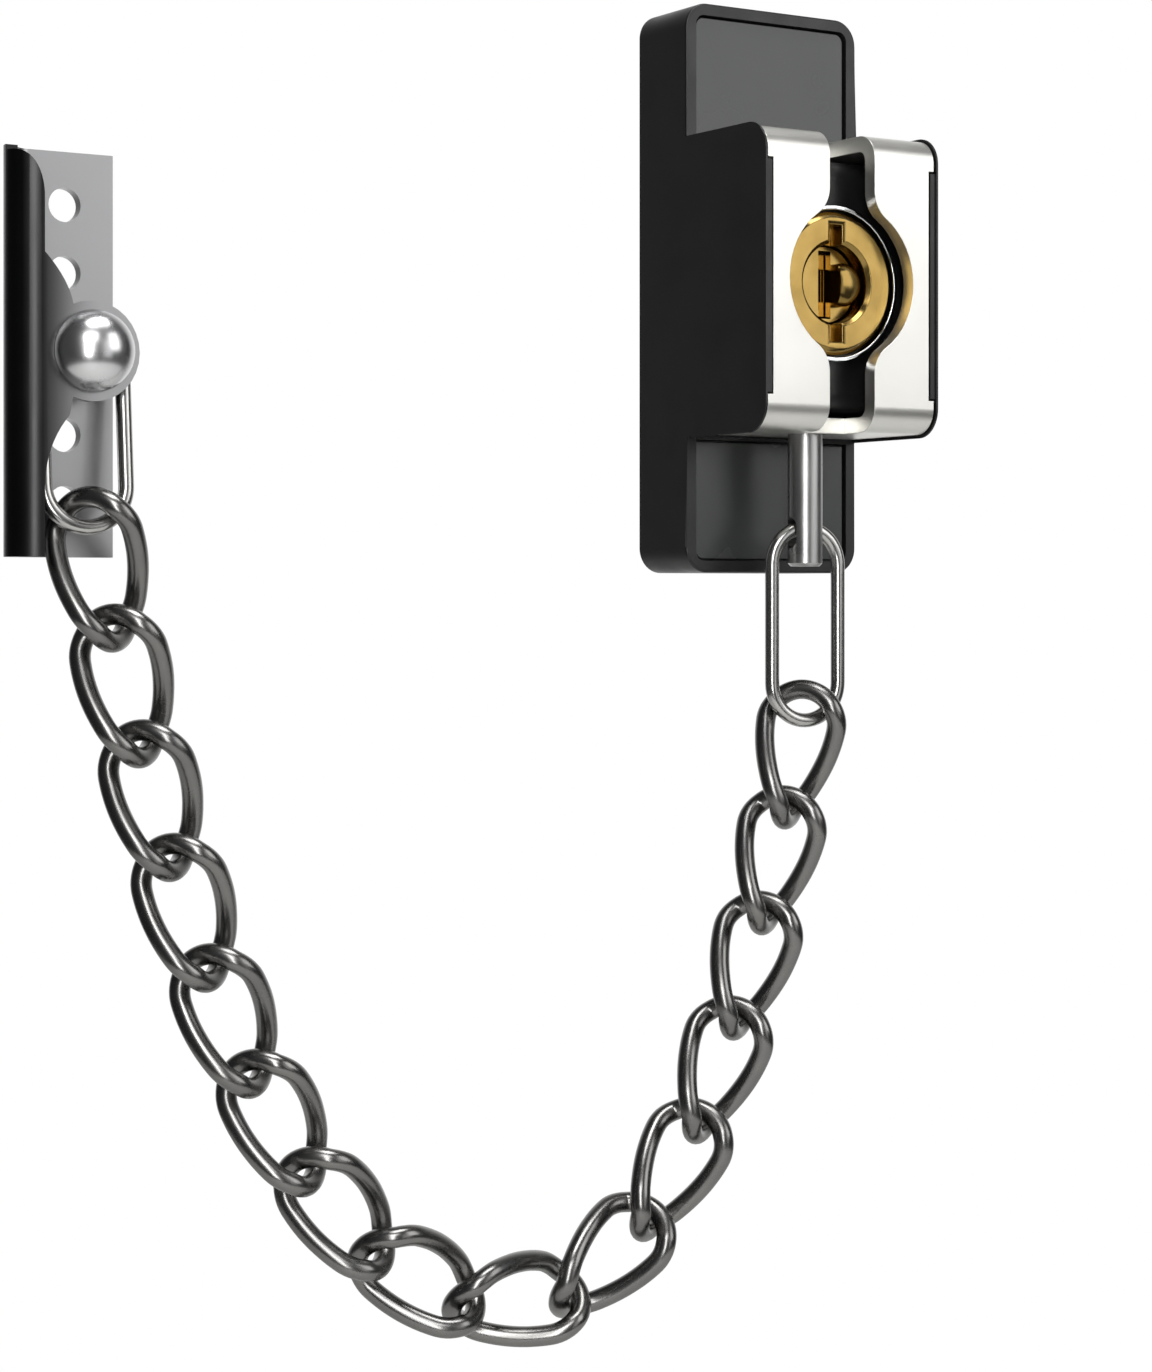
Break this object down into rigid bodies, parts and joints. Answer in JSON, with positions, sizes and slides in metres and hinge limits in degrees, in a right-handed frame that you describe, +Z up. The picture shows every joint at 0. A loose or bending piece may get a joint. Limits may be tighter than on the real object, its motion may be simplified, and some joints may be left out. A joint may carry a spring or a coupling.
{
  "type": "door chain guard",
  "caption": "Keyed door chain guard: a lock body with a steel guard and a pull-out plug, a twisted-link chain, and a folded wall bracket with a domed rivet.",
  "frame": {"origin": "centre of the lock body's back face, where it meets the door", "axes": "X runs along the wall with the bracket on the -X side, +Y points into the wall, +Z is up"},
  "size_m": [0.1432, 0.0345, 0.2068],
  "materials": {
    "black_plastic": "moulded black ABS, fine satin texture",
    "smoked_plastic": "smooth dark grey cover",
    "satin_stainless": "bead-blasted satin stainless sheet",
    "zinc_steel": "bright zinc-plated steel",
    "brass": "turned and polished brass",
    "chrome": "bright chrome-plated ring",
    "spring_steel": "hard drawn steel",
    "nickel_wire": "bright nickel-plated wire",
    "black_nickel": "black nickel plate over wire",
    "black_gloss_steel": "folded sheet with a dark glossy plate",
    "polished_steel": "mirror-polished dome"
  },
  "bodies": {
    "lock": {"housing_shell": "black_plastic", "upper_panel": "smoked_plastic", "lower_panel": "smoked_plastic", "mounting_plate": "zinc_steel", "plate_screw_upper": "zinc_steel", "plate_screw_lower": "zinc_steel", "steel_guard": "satin_stainless", "lock_case": "black_plastic", "case_screw_1": "zinc_steel", "case_screw_2": "zinc_steel", "case_screw_3": "zinc_steel", "case_screw_4": "zinc_steel", "cylinder_shell": "brass", "face_ring": "chrome", "cylinder_clip": "spring_steel", "detent_ball": "spring_steel", "detent_spring": "spring_steel"},
    "core": {"cylinder_core": "brass", "wafer_1": "brass", "wafer_2": "brass", "wafer_3": "brass", "core_cam": "zinc_steel", "cam_screw": "zinc_steel"},
    "slide": {"locking_slide": "zinc_steel"},
    "plug": {"chain_plug": "satin_stainless"},
    "link_lock": {"long_link_lock": "nickel_wire"},
    "link_01": {"curb_link_01": "black_nickel"},
    "link_02": {"curb_link_02": "black_nickel"},
    "link_03": {"curb_link_03": "black_nickel"},
    "link_04": {"curb_link_04": "black_nickel"},
    "link_05": {"curb_link_05": "black_nickel"},
    "link_06": {"curb_link_06": "black_nickel"},
    "link_07": {"curb_link_07": "black_nickel"},
    "link_08": {"curb_link_08": "black_nickel"},
    "link_09": {"curb_link_09": "black_nickel"},
    "link_10": {"curb_link_10": "black_nickel"},
    "link_11": {"curb_link_11": "black_nickel"},
    "link_12": {"curb_link_12": "black_nickel"},
    "link_13": {"curb_link_13": "black_nickel"},
    "link_14": {"curb_link_14": "black_nickel"},
    "link_15": {"curb_link_15": "black_nickel"},
    "link_bracket": {"long_link_bracket": "nickel_wire"},
    "bracket": {"bracket_plate": "black_gloss_steel", "bracket_rivet": "polished_steel"}
  },
  "joints": [
    {"name": "plug_pull", "type": "slide", "parent": "lock", "child": "plug", "axis": [0, 0, -1], "range_m": [0, 0.03]},
    {"name": "slide_travel", "type": "slide", "parent": "lock", "child": "slide", "axis": [1, 0, 0], "range_m": [0, 0.00453]},
    {"name": "core_turn", "type": "hinge", "parent": "lock", "child": "core", "pos_m": [0, -0.024, 0], "axis": [0, -1, 0], "range_deg": [0, 90]},
    {"name": "link_lock_swing", "type": "hinge", "parent": "plug", "child": "link_lock", "pos_m": [0, -0.022, -0.0379], "axis": [0, 1, 0], "range_deg": [0, 9.02]},
    {"name": "link_01_swing", "type": "hinge", "parent": "link_lock", "child": "link_01", "pos_m": [0, -0.022, -0.06607], "axis": [0, 1, 0], "range_deg": [0, 16.6]},
    {"name": "link_02_swing", "type": "hinge", "parent": "link_01", "child": "link_02", "pos_m": [-0.00352, -0.02155, -0.08195], "axis": [0, 1, 0], "range_deg": [0, 31.78]},
    {"name": "link_03_swing", "type": "hinge", "parent": "link_02", "child": "link_03", "pos_m": [-0.00759, -0.02102, -0.09838], "axis": [0, 1, 0], "range_deg": [0, 29.72]},
    {"name": "link_04_swing", "type": "hinge", "parent": "link_03", "child": "link_04", "pos_m": [-0.01266, -0.02037, -0.11452], "axis": [0, 1, 0], "range_deg": [-5.31, 0]},
    {"name": "link_05_swing", "type": "hinge", "parent": "link_04", "child": "link_05", "pos_m": [-0.01934, -0.01951, -0.12999], "axis": [0, 1, 0], "range_deg": [-9.62, 0]},
    {"name": "link_06_swing", "type": "hinge", "parent": "link_05", "child": "link_06", "pos_m": [-0.02873, -0.01831, -0.14367], "axis": [0, 1, 0], "range_deg": [-20.39, 0]},
    {"name": "link_07_swing", "type": "hinge", "parent": "link_06", "child": "link_07", "pos_m": [-0.04183, -0.01662, -0.15226], "axis": [0, 1, 0], "range_deg": [-40.17, 0]},
    {"name": "link_08_swing", "type": "hinge", "parent": "link_07", "child": "link_08", "pos_m": [-0.05713, -0.01465, -0.15225], "axis": [0, 1, 0], "range_deg": [-29.68, 0]},
    {"name": "link_09_swing", "type": "hinge", "parent": "link_08", "child": "link_09", "pos_m": [-0.07116, -0.01285, -0.14435], "axis": [0, 1, 0], "range_deg": [-18.41, 0]},
    {"name": "link_10_swing", "type": "hinge", "parent": "link_09", "child": "link_10", "pos_m": [-0.08217, -0.01144, -0.13191], "axis": [0, 1, 0], "range_deg": [-10.46, 0]},
    {"name": "link_11_swing", "type": "hinge", "parent": "link_10", "child": "link_11", "pos_m": [-0.09061, -0.01035, -0.11736], "axis": [0, 1, 0], "range_deg": [-6.35, 0]},
    {"name": "link_12_swing", "type": "hinge", "parent": "link_11", "child": "link_12", "pos_m": [-0.0973, -0.00949, -0.10185], "axis": [0, 1, 0], "range_deg": [-4.17, 0]},
    {"name": "link_13_swing", "type": "hinge", "parent": "link_12", "child": "link_13", "pos_m": [-0.1028, -0.00878, -0.08585], "axis": [0, 1, 0], "range_deg": [-2.93, 0]},
    {"name": "link_14_swing", "type": "hinge", "parent": "link_13", "child": "link_14", "pos_m": [-0.10745, -0.00818, -0.06957], "axis": [0, 1, 0], "range_deg": [-2.16, 0]},
    {"name": "link_15_swing", "type": "hinge", "parent": "link_14", "child": "link_15", "pos_m": [-0.11147, -0.00767, -0.05312], "axis": [0, 1, 0], "range_deg": [-1.65, 0]},
    {"name": "link_bracket_swing", "type": "hinge", "parent": "link_15", "child": "link_bracket", "pos_m": [-0.1151, -0.0072, -0.03697], "axis": [0, 1, 0], "range_deg": [-10.99, 0]},
    {"name": "bracket_turn", "type": "hinge", "parent": "link_bracket", "child": "bracket", "pos_m": [-0.1151, -0.0045, -0.0141], "axis": [0, 1, 0], "range_deg": [0, 75.02]}
  ],
  "couplings": [
    {"joint": "core_turn", "follows": "slide_travel", "rad_per_m": 347.1},
    {"joint": "link_lock_swing", "follows": "link_07_swing", "ratio": -0.22404},
    {"joint": "link_01_swing", "follows": "link_07_swing", "ratio": -0.41265},
    {"joint": "link_02_swing", "follows": "link_07_swing", "ratio": -0.79067},
    {"joint": "link_03_swing", "follows": "link_07_swing", "ratio": -0.73942},
    {"joint": "link_04_swing", "follows": "link_07_swing", "ratio": 0.13166},
    {"joint": "link_05_swing", "follows": "link_07_swing", "ratio": 0.23896},
    {"joint": "link_06_swing", "follows": "link_07_swing", "ratio": 0.50714},
    {"joint": "link_08_swing", "follows": "link_07_swing", "ratio": 0.73834},
    {"joint": "link_09_swing", "follows": "link_07_swing", "ratio": 0.45774},
    {"joint": "link_10_swing", "follows": "link_07_swing", "ratio": 0.2598},
    {"joint": "link_11_swing", "follows": "link_07_swing", "ratio": 0.15751},
    {"joint": "link_12_swing", "follows": "link_07_swing", "ratio": 0.10335},
    {"joint": "link_13_swing", "follows": "link_07_swing", "ratio": 0.07232},
    {"joint": "link_14_swing", "follows": "link_07_swing", "ratio": 0.0532},
    {"joint": "link_15_swing", "follows": "link_07_swing", "ratio": 0.04067},
    {"joint": "link_bracket_swing", "follows": "link_07_swing", "ratio": 0.27309},
    {"joint": "bracket_turn", "follows": "link_07_swing", "ratio": -1.867}
  ]
}
